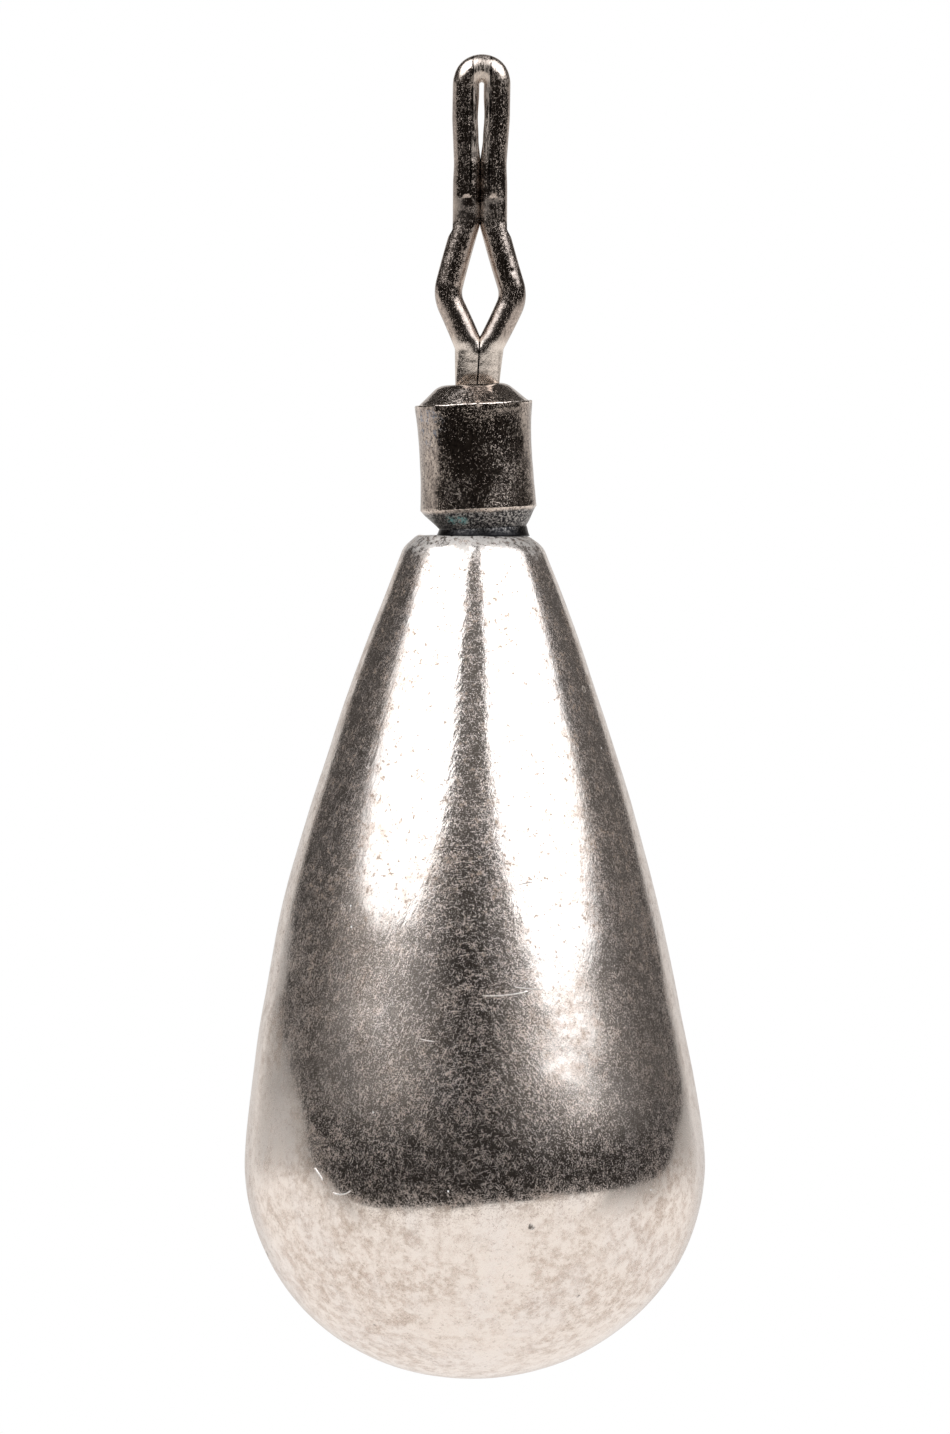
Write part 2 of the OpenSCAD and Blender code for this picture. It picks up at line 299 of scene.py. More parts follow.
def barrelNickel():
    look = {
        "hairTurns": (20, -40, 80), "bare": 0.79, "middle": 0.5, "ragged": 0.12,
        # edge: the rims' colour, partly rubbed bright and partly a painted highlight
        "edge": (0.86, 0.76, 0.68, 1), "rims": [(-7.96, 0.95), (-10.56, 0.6)], "rimBand": (0.0275, 0.0715),
        "oxide": (0.46, 0.44, 0.42, 1), "oxideDark": (0.02, 0.02, 0.023, 1), "oxideRough": 0.34,
        "oxideGrain": (18, 4, 0.75), "oxideRange": (0.47, 0.60), "foot": (-10.58, -10.68),
        # crevice: painted shade, a near-black band where the lip meets the lead
        "paintedCreviceShade": (0.010, 0.010, 0.011, 1), "paintedCreviceShadeHigh": (0.45, 0.02),
        "streak": (0.74, 0.65, 0.57, 1), "streaks": ((0.07, 0.07, 0.35), 4, 0.7),
        "streakRange": (0.47, 0.60, 0.0, 0.85),
        "speck": (0.09, 0.075, 0.07, 1), "specks": (15, 4, 0.75), "speckRange": (0.50, 0.60, 0.0, 0.9),
        "fleck": (0.85, 0.74, 0.66, 1), "flecks": (13, 5, 0.8), "fleckRange": (0.50, 0.60),
        "fleckRough": 0.42, "cool": (0.20, 0.25, 0.33, 1), "coolGrain": (9, 4, 0.7),
        "coolRange": (0.50, 0.58, 0.0, 0.8), "verdigris": (0.24, 0.5, 0.5, 1), "crumbs": (14, 4, 0.7),
        "crumbRange": (0.44, 0.56), "greenRough": 0.2,
        # where patches lie: their middle, whole up to, gone at
        "coolSpot": ((-1.1, -0.8, -8.5), 0.25, 0.8),
        "flecked": [((1.0, -0.95, -9.75), 0.2, 1.15), ((1.05, -0.9, -8.4), 0.15, 0.85),
                    ((-0.6, -1.25, -10.2), 0.1, 0.6)],
        "green": [((-0.62, -1.05, -10.88), 0.03, 0.2), ((-0.35, -1.15, -10.86), 0.03, 0.2),
                  ((-0.9, -0.75, -11.1), 0.03, 0.2), ((0.5, 1.1, -11.0), 0.05, 0.3)],
    }
    base = blackNickel("barrelNickel", look["hairTurns"], look["bare"])
    material, net, shader, place, patch, colour, rough = base
    # height along the barrel's own leaning axis
    axes = net.axes(place)
    height = net.minus(axes["Z"], net.times(axes["X"], math.tan(math.radians(barrelLean))))
    ragged = net.plus(height, net.times(net.minus(patch, look["middle"]), look["ragged"] * mm))
    cool = net.remap(net.grain(place, *look["coolGrain"]), *look["coolRange"])
    colour = net.mix(net.times(net.spot(place, *look["coolSpot"]), cool), colour, look["cool"])
    # grainy bare patches
    flecks = net.remap(net.grain(place, *look["flecks"]), *look["fleckRange"])
    for spot in look["flecked"]:
        patchy = net.times(net.spot(place, *spot), flecks)
        colour = net.mix(patchy, colour, look["fleck"])
        rough = net.most(rough, net.times(patchy, look["fleckRough"]))
    # both rims are lighter, partly rubbed bright and partly a painted highlight
    for rim, strength in look["rims"]:
        rubbed = net.band(net.minus(ragged, rim * mm), *look["rimBand"], strength)
        colour = net.mix(rubbed, colour, look["edge"])
    streaks = net.remap(net.streaks(place, *look["streaks"]), *look["streakRange"])
    colour = net.mix(streaks, colour, look["streak"])
    specks = net.remap(net.grain(place, *look["specks"]), *look["speckRange"])
    colour = net.mix(specks, colour, look["speck"])
    # the foot is oxidised, with crumbs of verdigris
    foot = net.ramp(ragged, *look["foot"])
    oxide = net.remap(net.grain(place, *look["oxideGrain"]), *look["oxideRange"])
    colour = net.mix(foot, colour, net.mix(oxide, look["oxideDark"], look["oxide"]))
    rough = net.most(rough, net.times(foot, look["oxideRough"]))
    crumbs = net.remap(net.grain(place, *look["crumbs"]), *look["crumbRange"])
    for spot in look["green"]:
        green = net.times(net.spot(place, *spot), crumbs, foot)
        colour = net.mix(green, colour, look["verdigris"])
        rough = net.plus(rough, net.times(green, look["greenRough"]))
    # painted shade: the barrel is coloured black just above the lead, where its lip meets it
    paintedCreviceShade = net.ramp(net.minus(axes["Z"], leadHigh.z), *look["paintedCreviceShadeHigh"])
    finish(net, shader, colour=net.mix(paintedCreviceShade, colour, look["paintedCreviceShade"]), rough=rough)
    return material


def wireNickel():
    # a height is given as where a mark begins and where it is whole, sometimes with its strength at both
    look = {
        "hairTurns": (8, -12, 70), "bareFrom": 0.765,
        "line": (0.14, 0.12, 0.105, 1), "lines": ((0.05, 0.05, 1.4), 3, 0.6),
        "lineRange": (0.54, 0.66, 0.0, 0.7),
        "worn": (0.64, 0.56, 0.49, 1), "streaks": ((0.045, 0.045, 0.5), 4, 0.7),
        # crown: the bend made lighter, partly worn plating and partly a painted highlight
        "streakRange": (0.38, 0.58), "crown": (-0.45, 0.1, 0.0, 0.75),
        # groove: painted shade, a dark line down each leg and along the seam
        "paintedShadeLine": (0.02, 0.017, 0.015, 1), "paintedShadeLineAt": 0.225, "paintedShadeLineBand": (0.01, 0.035),
        "paintedShadeLineRange": (0.40, 0.52), "paintedShadeLineHigh": (-2.9, -2.4),
        "seamLean": 0.052, "seamAt": 0.023, "seamBand": (0.01, 0.032), "seamHigh": (-6.35, -6.5),
        # inner: the inner sides along the slot made lighter, a painted highlight
        "inner": (0.2, 0.25, 1.0, 0.0), "innerHigh": (-2.1, -1.6), "innerHighlight": 0.75, "innerRough": 0.45,
        "press": (-2.78, -2.9), "pressEnd": (-3.8, -2.9), "pressPatch": (0.40, 0.54),
        "pressWear": 0.6, "pressRough": 0.35, "pressDull": 0.3, "dullPatch": (0.35, 0.60, 0.12, 0.34),
        "bare": (0.82, 0.75, 0.68, 1), "neck": (-6.2, -6.6), "neckStreaks": (0, 1, 0.7, 1.0),
        "worked": (-5.2, -5.5, 0.0, 0.2), "foot": -7.45,
    }
    base = blackNickel("wireNickel", look["hairTurns"], look["bareFrom"])
    material, net, shader, place, patch, colour, rough = base
    axes = net.axes(place)
    z = axes["Z"]
    # dies have drawn fine dark lines along the wire
    lines = net.streaks(place, *look["lines"])
    colour = net.mix(net.remap(lines, *look["lineRange"]), colour, look["line"])
    streaks = net.remap(net.streaks(place, *look["streaks"]), *look["streakRange"])
    # painted shade: a dark line down the front of each leg of the loop
    aboveFoot = net.minus(z, look["foot"] * mm)
    leaning = net.times(aboveFoot, math.tan(math.radians(clipLean)))
    aside = net.unsigned(net.minus(axes["X"], leaning))
    paintedShadeLine = net.band(net.minus(aside, look["paintedShadeLineAt"] * mm), *look["paintedShadeLineBand"])
    paintedShadeLine = net.times(paintedShadeLine, net.remap(lines, *look["paintedShadeLineRange"]), net.ramp(z, *look["paintedShadeLineHigh"]))
    # and along the seam between the legs where they close into the neck, darkened with the same painted
    # shade
    seamX = net.plus(net.times(aboveFoot, look["seamLean"]), look["seamAt"] * mm)
    seam = net.band(net.minus(axes["X"], seamX), *look["seamBand"])
    paintedShadeLine = net.most(paintedShadeLine, net.times(seam, net.ramp(z, *look["seamHigh"])))
    # the bend is lighter, partly worn plating and partly a painted highlight; the inner sides along the
    # slot carry a painted highlight; the plating is thin under the jaw marks and on the neck
    crown = net.ramp(z, *look["crown"])
    inner = net.times(net.ramp(aside, *look["inner"]), net.ramp(z, *look["innerHigh"]), streaks)
    pressed = net.times(net.ramp(z, *look["press"]), net.ramp(z, *look["pressEnd"]))
    pressed = net.times(pressed, net.remap(patch, *look["pressPatch"]))
    rubbed = net.most(crown, net.times(inner, look["innerHighlight"]))
    rubbed = net.most(rubbed, net.times(pressed, look["pressWear"]))
    # the worn colour is worn plating under the jaw marks, and a painted highlight on the bend and the
    # slot's inner sides
    colour = net.mix(rubbed, colour, look["worn"])
    neck = net.times(net.ramp(z, *look["neck"]), net.remap(streaks, *look["neckStreaks"]))
    colour = net.mix(neck, colour, look["bare"])
    # the dark lines down the legs and along the seam are painted shade
    colour = net.mix(paintedShadeLine, colour, look["paintedShadeLine"])
    softer = net.most(net.times(inner, look["innerRough"]), net.times(pressed, look["pressRough"]))
    softer = net.most(softer, net.ramp(z, *look["worked"]))
    dull = net.most(inner, net.times(pressed, look["pressDull"]))
    dull = net.times(dull, net.remap(patch, *look["dullPatch"]), net.minus(1.0, paintedShadeLine))
    finish(net, shader, colour=colour, rough=net.most(rough, softer), metal=net.minus(1.0, dull))
    return material


def drawnWire():
    look = {
        "dark": (0.36, 0.34, 0.31, 1), "pale": (0.5, 0.47, 0.43, 1), "smooth": 0.25, "rough": 0.45,
        "lines": ((0.07, 0.07, 1.2), 3), "lineRange": (0.3, 0.7),
    }
    material, net, shader, place = newMetal("drawnWire")
    lines = net.streaks(place, *look["lines"])
    rough = net.remap(lines, *look["lineRange"], look["smooth"], look["rough"])
    finish(net, shader, colour=net.mix(lines, look["dark"], look["pale"]), rough=rough)
    return material


# Mesh helpers, in millimetres until finishPiece
def smooth(t):
    t = min(1.0, max(0.0, t))
    return t * t * (3 - 2 * t)


def turnProfile(bm, points, steps):
    # spins a profile of (radius, height) points, which lie in a row, round the Z axis
    weld = 0.0005
    verts = [bm.verts.new((x, 0, z)) for x, z in points]
    edges = [bm.edges.new(pair) for pair in zip(verts, verts[1:])]
    bmesh.ops.spin(bm, geom=verts + edges, cent=(0, 0, 0), axis=(0, 0, 1), angle=math.tau,
                   steps=steps, use_merge=True, use_duplicate=False)
    bmesh.ops.remove_doubles(bm, verts=bm.verts, dist=weld)
    bmesh.ops.recalc_face_normals(bm, faces=bm.faces)


def arcPoints(cx, cz, radius, start, end, steps):
    angles = [math.radians(start + (end - start) * i / steps) for i in range(steps + 1)]
    return [(cx + radius * math.cos(a), cz + radius * math.sin(a)) for a in angles]


def runTo(points, end, steps):
    # goes on from the last point to end in a straight line
    start = points[-1]
    points += [tuple(a + (b - a) * i / steps for a, b in zip(start, end)) for i in range(1, steps + 1)]


def between(stops, at):
    # smooth values from a short list of (height, value, ...) stops that goes downwards
    if at >= stops[0][0]:
        return stops[0][1:]
    for above, below in zip(stops, stops[1:]):
        if at >= below[0]:
            t = smooth((above[0] - at) / (above[0] - below[0]))
            return [a + (b - a) * t for a, b in zip(above[1:], below[1:])]
    return stops[-1][1:]


def intoScene(name, data):
    made = bpy.data.objects.new(name, data)
    bpy.context.scene.collection.objects.link(made)
    return made


def finishPiece(name, bm, material, body, node):
    bmesh.ops.scale(bm, vec=(mm, mm, mm), verts=bm.verts)
    for face in bm.faces:
        face.smooth = True
    mesh = bpy.data.meshes.new(name)
    bm.to_mesh(mesh)
    bm.free()
    mesh.materials.append(material)
    piece = intoScene(name, mesh)
    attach(piece, body)
    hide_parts(node)
    print(name, "made with", len(mesh.vertices), "points")


# Lead weight
def leadWeight(material):
    size = {
        "shoulder": 1.8, "shoulderRadius": 0.65, "sideAngle": 22.5, "bellyHeight": 5.3,
        "topShare": 0.52, "lowShare": 0.08, "stemHole": 0.55, "holeDepth": 2.1,
        "sides": 256, "topRings": 14, "shoulderRings": 22, "sideRings": 190, "bellyRings": 90,
        # waves in the casting's skin, wide and high, and the crust round the swivel's lip
        "waves": [(4.0, 0.022), (1.5, 0.011), (0.55, 0.0022)], "flat": 1.28, "flatRun": 0.1,
        "crustWave": (0.4, 0.02), "crustReach": 0.7, "crustAt": 1.40, "crustRun": 0.13,
        "crustHigh": 0.07, "crustLow": 0.03,
        # how this casting strays from round: height, shift to the right, swelling
        "strays": [(-11.3, -0.062, -0.018), (-13.0, -0.045, -0.03), (-15.5, -0.068, -0.04),
                   (-20.3, -0.098, -0.002), (-22.8, -0.055, -0.04), (-26.7, 0.045, 0.008),
                   (-28.5, 0.05, -0.02), (-31.6, -0.02, 0.0)],
    }
    top, low, radius = leadHigh.z / mm, leadLow.z / mm, leadHigh.x / mm
    bellyZ = low + size["bellyHeight"]
    lean = math.radians(size["sideAngle"])
    start = Vector((size["shoulder"], top - size["shoulderRadius"] * (1 - math.sin(lean))))
    end = Vector((radius, bellyZ))
    fall = start.y - end.y
    leave = start + size["topShare"] * fall * Vector((math.tan(lean), -1))
    arrive = end + Vector((0, size["lowShare"] * fall))
    turn = size["shoulderRadius"]
    shoulderX = size["shoulder"] - turn * math.cos(lean)
    hole = size["stemHole"]
    points = [(0, top - size["holeDepth"])]
    runTo(points, (hole, top - size["holeDepth"]), steps=3)
    runTo(points, (hole, top), steps=12)
    runTo(points, (shoulderX, top), size["topRings"])
    points += arcPoints(shoulderX, top - turn, turn, 90, size["sideAngle"], size["shoulderRings"])[1:]
    for i in range(1, size["sideRings"] + 1):
        t = i / size["sideRings"]
        u = 1 - t
        points.append(tuple(u**3 * start + 3 * u * u * t * leave + 3 * u * t * t * arrive + t**3 * end))
    belly = [math.pi / 2 * i / size["bellyRings"] for i in range(1, size["bellyRings"])]
    points += [(radius * math.cos(a), bellyZ - size["bellyHeight"] * math.sin(a)) for a in belly]
    points.append((0, low))
    bm = bmesh.new()
    turnProfile(bm, points, size["sides"])
    bm.normal_update()
    moves = [(vert, castSkin(vert, size, top)) for vert in bm.verts]
    for vert, move in moves:
        vert.co += move
    finishPiece("leadWeight", bm, material, "sinker", "sinker_body")


def castSkin(vert, size, top):
    # how far a point of the lead's outside strays from the drawn shape
    around = math.hypot(vert.co.x, vert.co.y)
    if around < size["flat"] and vert.co.z > top - size["holeDepth"] - size["stemHole"]:
        return Vector()
    side = Vector((vert.co.x, vert.co.y, 0)).normalized() if around else Vector()
    shift, swell = between(size["strays"], vert.co.z)
    rise = sum(high * noise.noise(vert.co / wide) for wide, high in size["waves"])
    wide, high = size["crustWave"]
    nearTop = smooth((vert.co.z - top + size["crustReach"]) / size["crustReach"])
    rise += nearTop * high * noise.noise(vert.co / wide)
    held = smooth((around - size["flat"]) / size["flatRun"]) if nearTop else 1.0
    # the crust stands up round the lip, more on the left
    mound = math.exp(-(((around - size["crustAt"]) / size["crustRun"]) ** 2)) * nearTop
    mound *= size["crustLow"] + (size["crustHigh"] - size["crustLow"]) * (0.5 - 0.5 * side.x)
    return (vert.normal * rise + Vector((shift, 0, mound)) + side * swell) * held


# Swivel barrel
def swivelBarrel(material):
    size = {
        "rimTop": 1.43, "waist": 1.395, "rimLow": 1.445, "rimSpan": 2.6, "domeHeight": 0.51,
        "chamferHeight": 0.46, "foot": 1.08, "lip": 1.16, "lipHeight": 0.14, "lipGap": 0.02,
        "mouth": 0.67, "mouthRise": 0.006, "bore": 1.095, "topEnd": 0.38, "sides": 224, "wallRings": 60,
        # the dome: a nearly flat top, a turn, and a cone down to a burr on the rim
        "crown": 0.72, "crownFall": 0.02, "crownSlope": 8, "coneSlope": 41, "turn": 0.45, "coneEnd": 1.37,
        "burr": 0.042, "burrDropShare": 0.35, "burrArc": (140, -20), "burrFootShare": 1.5,
        "flare": 0.03, "flareReach": 0.3, "edge": 0.02, "edgeArc": (0, -50),
        "footShift": 0.08, "footRun": 0.3, "outsideShare": 1.02,
    }
    half = (size["domeHeight"] + size["rimSpan"] + size["chamferHeight"] + size["lipHeight"]) / 2
    rimTopZ = half - size["domeHeight"]
    rimLowZ = rimTopZ - size["rimSpan"]
    footZ = rimLowZ - size["chamferHeight"]
    endZ = -half + size["chamferHeight"] + size["lipHeight"]
    edge, burr = size["edge"], size["burr"]
    burrDrop, burrFoot = burr * size["burrDropShare"], burr * size["burrFootShare"]
    crownZ = half - size["crownFall"]
    slope = math.radians(size["crownSlope"])
    turnX = size["crown"] - size["turn"] * math.sin(slope)
    turnZ = crownZ - size["turn"] * math.cos(slope)
    points = [(size["mouth"], crownZ + size["mouthRise"])]
    points += arcPoints(turnX, turnZ, size["turn"], 90 - size["crownSlope"], 90 - size["coneSlope"], 16)
    runTo(points, (size["coneEnd"], rimTopZ + burrDrop), steps=14)
    burrX = size["rimTop"] + size["flare"] - burr
    points += arcPoints(burrX, rimTopZ - burrDrop, burr, *size["burrArc"], 10)
    sag = (size["rimTop"] + size["rimLow"]) / 2 - size["waist"]
    for i in range(1, size["wallRings"]):
        t = i / size["wallRings"]
        spread = size["flare"] * math.exp(-t * size["rimSpan"] / size["flareReach"])
        x = size["rimTop"] + (size["rimLow"] - size["rimTop"]) * t - 4 * sag * t * (1 - t) + spread
        points.append((x, rimTopZ - burrFoot - (size["rimSpan"] - burrFoot - edge) * t))
    points += arcPoints(size["rimLow"] - edge, rimLowZ + edge, edge, *size["edgeArc"], 4)
    runTo(points, (size["foot"], footZ), steps=14)
    runTo(points, (size["lip"], -half + edge), steps=6)
    runTo(points, (size["lip"] - edge, -half), steps=1)
    runTo(points, (size["mouth"], -half), steps=6)
    runTo(points, (size["mouth"], endZ), steps=6)
    runTo(points, (size["bore"], endZ), steps=4)
    runTo(points, (size["bore"], half - size["topEnd"]), steps=12)
    runTo(points, (size["mouth"], half - size["topEnd"]), steps=4)
    runTo(points, points[0], steps=4)
    bm = bmesh.new()
    turnProfile(bm, points, size["sides"])
    middle = (barrelLow + barrelHigh).z / 2 / mm
    restZ = leadHigh.z / mm + size["lipGap"]
    lean = Matrix.Rotation(math.radians(-barrelLean), 3, "Y")
    for vert in bm.verts:
        radius = math.hypot(vert.co.x, vert.co.y)
        local = vert.co.z
        thick = local < endZ + edge or local > half - size["topEnd"]
        outside = radius > (size["mouth"] if thick else size["bore"]) * size["outsideShare"]
        if outside:
            vert.co += swagedWall(vert.co, radius, rimTopZ, rimLowZ)
            low = smooth((rimLowZ - local) / size["chamferHeight"])
            vert.co.x += size["footShift"] * low * smooth((radius - size["mouth"]) / size["footRun"])
        vert.co = lean @ vert.co + Vector((0, 0, middle))
        # the lip below the foot lies level, close over the lead
        if outside or local < -half + edge / 2:
            vert.co.z += (restZ - vert.co.z) * smooth((footZ - local) / size["lipHeight"])
    bmesh.ops.recalc_face_normals(bm, faces=bm.faces)
    finishPiece("swivelBarrel", bm, material, "barrel", "swivel_barrel")


def swagedWall(place, radius, rimTopZ, rimLowZ):
    # uneven rims and a gently hammered wall; a wave is (repeats, height, where its noise starts)
    form = {
        "topReach": 0.06, "lowReach": 0.05, "lowShare": 0.6,
        "ripples": [(3.0, 0.02, (0, 0, 0)), (9.0, 0.012, (0, 0, 0))], "burr": [(6.0, 0.02, (0, 0, 3))],
        "dents": [(0.9, 0.012, (0, 0, 0)), (2.6, 0.006, (7, 0, 0))],
    }
    out = Vector((place.x, place.y, 0)) / radius
    onTop = math.exp(-(((place.z - rimTopZ) / form["topReach"]) ** 2))
    onLow = math.exp(-(((place.z - rimLowZ) / form["lowReach"]) ** 2))
    ripple, burr = waves(form["ripples"], out), waves(form["burr"], out)
    outwards = waves(form["dents"], place) + burr * onTop
    return out * outwards + Vector((0, 0, (onTop + form["lowShare"] * onLow) * ripple))


def waves(kinds, at):
    return sum(high * noise.noise(at * repeats + Vector(start)) for repeats, high, start in kinds)


# Line clip
def roundedRoute(corners, spacing):
    # stations (x, z, heading) along a line with rounded corners, given as (x, z, bend radius)
    stations = []
    at = Vector(corners[0][:2])
    for before, corner, after in zip(corners, corners[1:], corners[2:] + [None]):
        here = Vector(corner[:2])
        ahead = (here - Vector(before[:2])).normalized()
        heading = math.atan2(ahead.y, ahead.x)
        if after is None:
            leave, turn = here, 0
        else:
            onward = (Vector(after[:2]) - here).normalized()
            turn = math.atan2(ahead.x * onward.y - ahead.y * onward.x, ahead.dot(onward))
            leave = here - ahead * corner[2] * math.tan(abs(turn) / 2)
        steps = max(1, round((leave - at).length / spacing))
        stations += [(*at.lerp(leave, i / steps), heading) for i in range(1, steps + 1)]
        if after is None:
            break
        hand = math.copysign(corner[2], turn)
        centre = leave + hand * Vector((-ahead.y, ahead.x))
        steps = max(3, round(abs(turn) * corner[2] / spacing))
        for i in range(1, steps + 1):
            a = heading + turn * i / steps
            at = centre + hand * Vector((math.sin(a), -math.cos(a)))
            stations.append((at.x, at.y, a))
    return stations


def lineClip(material):
    size = {
        "wire": 0.33, "loop": 0.055, "slotLength": 2.0, "pinchLength": 1.5, "press": 0.006,
        "eye": 0.5, "eyeUpper": 1.8, "eyeLower": 1.22, "root": 0.59, "shank": 0.51, "shankLength": 0.93,
        "sink": 0.1, "forge": 0.15, "bend": 0.45, "longBend": 3.0, "eyeBend": 0.8, "neck": 0.53,
        "bowShare": 0.45, "sides": 64, "spacing": 0.06, "crownSteps": 24,
    }
    wire = size["wire"]
    loopX, pinchX, eyeX = size["loop"] + wire, wire - size["press"], size["eye"] + wire
    rootX, shankX = size["root"] - wire, size["shank"] - wire
    eyeTop = -size["slotLength"] - size["pinchLength"]
    eyeMid = eyeTop - size["eyeUpper"]
    rootZ = eyeMid - size["eyeLower"]
    barrelTop = rootZ - size["shankLength"]
    endZ = barrelTop - size["sink"] - size["forge"]
    turns = [math.pi / 2 * i / size["crownSteps"] for i in range(size["crownSteps"] + 1)]
    crown = [(loopX * math.sin(a), loopX * math.cos(a) - size["loop"], -a) for a in turns]
    leg = [
        (loopX, -size["loop"], 0), (loopX, -size["slotLength"] * size["bowShare"], size["longBend"]),
        (pinchX, -size["slotLength"], size["longBend"]), (pinchX, eyeTop, size["bend"]),
        (eyeX, eyeMid, size["eyeBend"]), (rootX, rootZ, size["bend"]), (shankX, endZ, 0),
    ]
    right = crown + roundedRoute(leg, size["spacing"])
    left = [(-x, z, -heading) for x, z, heading in right[:0:-1]]
    route = left + right
    bm = bmesh.new()
    angleOf = bm.verts.layers.float.new("angle")
    stationOf = bm.verts.layers.int.new("station")
    ring = bmesh.ops.create_circle(bm, segments=size["sides"], radius=wire)["verts"]
    for vert in ring:
        vert[angleOf] = math.atan2(vert.co.y, vert.co.x)
    edges = list({edge for vert in ring for edge in vert.link_edges})
    bmesh.ops.edgeloop_fill(bm, edges=edges)
    for station in range(1, len(route)):
        grown = bmesh.ops.extrude_edge_only(bm, edges=edges)["geom"]
        for vert in (part for part in grown if isinstance(part, bmesh.types.BMVert)):
            vert[stationOf] = station
        edges = [part for part in grown if isinstance(part, bmesh.types.BMEdge)]
    bmesh.ops.edgeloop_fill(bm, edges=edges)
    levels = {"slotTop": -size["loop"], "eyeTop": eyeTop, "root": rootZ, "barrel": barrelTop}
    for vert in bm.verts:
        vert.co = formedWire(wire, vert[angleOf], route[vert[stationOf]], levels)
    bm.verts.layers.float.remove(bm.verts.layers.float["angle"])
    bm.verts.layers.int.remove(bm.verts.layers.int["station"])
    strayWire(bm, levels)
    bmesh.ops.recalc_face_normals(bm, faces=bm.faces)
    headedNeck(bm, size["neck"], barrelTop - size["sink"], clipLow.z / mm)
    finishPiece("lineClip", bm, material, "clip", "line_clip")


def formedWire(wire, angle, station, levels):
    # where a point of the round wire ends up once the clip has been bent, pressed and tapered
    form = {
        "facetAt": 34.0, "facetCut": 0.93, "facetLow": (-2.1, 0.3), "facetHigh": (-0.02, 0.15),
        "crownBulge": 0.09, "crownInnerShare": 0.2, "crownFrom": 0.02, "crownRun": 0.25,
        "plump": 1.06, "plumpFrom": -2.0, "plumpRun": 0.6,
        "neckTaper": 0.215, "neckFrom": 0.12, "taperMost": 1.1, "squareness": 6, "squareSpeed": 3,
        "outer": 0.676, "cheekFrom": -2.6, "cheekTo": -3.66, "cheekRun": 0.3, "cheekSlope": 0.6,
        "jawEdge": -2.82, "jawBow": 0.2, "jawDepth": 0.04, "jawStep": 0.03, "jawLow": (0.35, 0.5),
        # half the width of the slot down its length; below it the legs touch
        "slot": [(-0.02, 0.0), (-0.2, 0.05), (-0.85, 0.08), (-1.4, 0.055), (-2.0, -0.004)],
    }
    x, z, heading = station
    section = Vector((math.cos(angle), math.sin(angle))) * wire
    # the mandrel has left a flat on the inner edge of the loop, at the front and the back
    low, lowRun = form["facetLow"]
    high, highRun = form["facetHigh"]
    inLoop = smooth((z - low) / lowRun) * smooth((high - z) / highRun)
    facet = math.radians(form["facetAt"])
    for facing in (1, -1):
        way = Vector((-math.sin(facet), math.cos(facet) * facing))
        over = section.dot(way) - wire * form["facetCut"]
        if over > 0:
            section -= way * over * inLoop
    onCrown = smooth((z - form["crownFrom"]) / form["crownRun"])
    section.x *= 1 + form["crownBulge"] * onCrown * (1 if section.x > 0 else form["crownInnerShare"])
    below = smooth((form["plumpFrom"] - z) / form["plumpRun"])
    if section.x > 0:
        section.x *= 1 + (form["plump"] - 1) * below
    # towards the barrel the legs are forged thinner, front and back
    run = levels["root"] + form["neckFrom"] - levels["barrel"]
    taper = min(form["taperMost"], max(0.0, (levels["root"] + form["neckFrom"] - z) / run))
    inward = -math.cos(angle)
    if inward > 0:
        # and their inner sides square, so that they close into one neck with a fine seam
        square = wire * (1 - inward ** form["squareness"]) ** (1 / form["squareness"])
        squared = smooth(taper * form["squareSpeed"])
        section.y += (math.copysign(square, section.y) - section.y) * squared
    section.y *= 1 - form["neckTaper"] * taper / wire
    outward = Vector((-math.sin(heading), 0, math.cos(heading)))
    place = Vector((x, 0, z)) + outward * section.x
    place.y = -section.y
    side = math.copysign(1, x)
    if z < levels["slotTop"]:
        gap = between(form["slot"], place.z)[0]
        place.x = side * max(side * place.x, gap)
    # the outside stays straight a little past the point where the legs part
    if form["cheekTo"] - form["cheekRun"] < place.z < form["cheekFrom"]:
        allowed = form["outer"] + max(0.0, form["cheekTo"] - place.z) * form["cheekSlope"]
        place.x = side * min(side * place.x, allowed)
    # below the jaws' edge the legs are pressed a little flatter, front and back
    arch = form["jawEdge"] - form["jawBow"] * ((abs(place.x) - wire) / wire) ** 2
    low, lowRun = form["jawLow"]
    pressed = smooth((arch - place.z) / form["jawStep"])
    pressed *= smooth((place.z - levels["eyeTop"] + low) / lowRun)
    flat = wire - form["jawDepth"]
    if abs(place.y) > flat:
        place.y -= math.copysign((abs(place.y) - flat) * pressed, place.y)
    return place


def strayWire(bm, levels):
    # hand-bent: the loop leans, the eye sits a little to one side, and pliers have left nicks
    stray = {
        "eyeShift": 0.06, "eyeAt": -5.9, "eyeReach": 1.1, "aside": 0.015, "asideFrom": -2.0,
        "asideRun": 1.5, "ripple": (2.2, 0.004),
        # nicks on the front: x, z, reach and depth; they are longer across
        "nicks": [(0.80, -4.69, 0.06, 0.022), (-0.62, -5.08, 0.06, 0.025), (0.24, -4.2, 0.05, 0.012)],
        "nickAcross": 0.6,
    }
    repeats, high = stray["ripple"]
    for vert in bm.verts:
        for x, z, reach, depth in stray["nicks"]:
            away = math.hypot((vert.co.x - x) * stray["nickAcross"], vert.co.z - z)
            if vert.co.y < 0 and away < reach:
                vert.co.y += depth * (1 - away / reach) ** 2
        vert.co.y += high * noise.noise(vert.co * repeats)
        aside = stray["eyeShift"] * math.exp(-(((vert.co.z - stray["eyeAt"]) / stray["eyeReach"]) ** 2))
        vert.co.x += math.tan(math.radians(clipLean)) * (vert.co.z - levels["barrel"]) + aside
        vert.co.x += stray["aside"] * smooth((stray["asideFrom"] - vert.co.z) / stray["asideRun"])


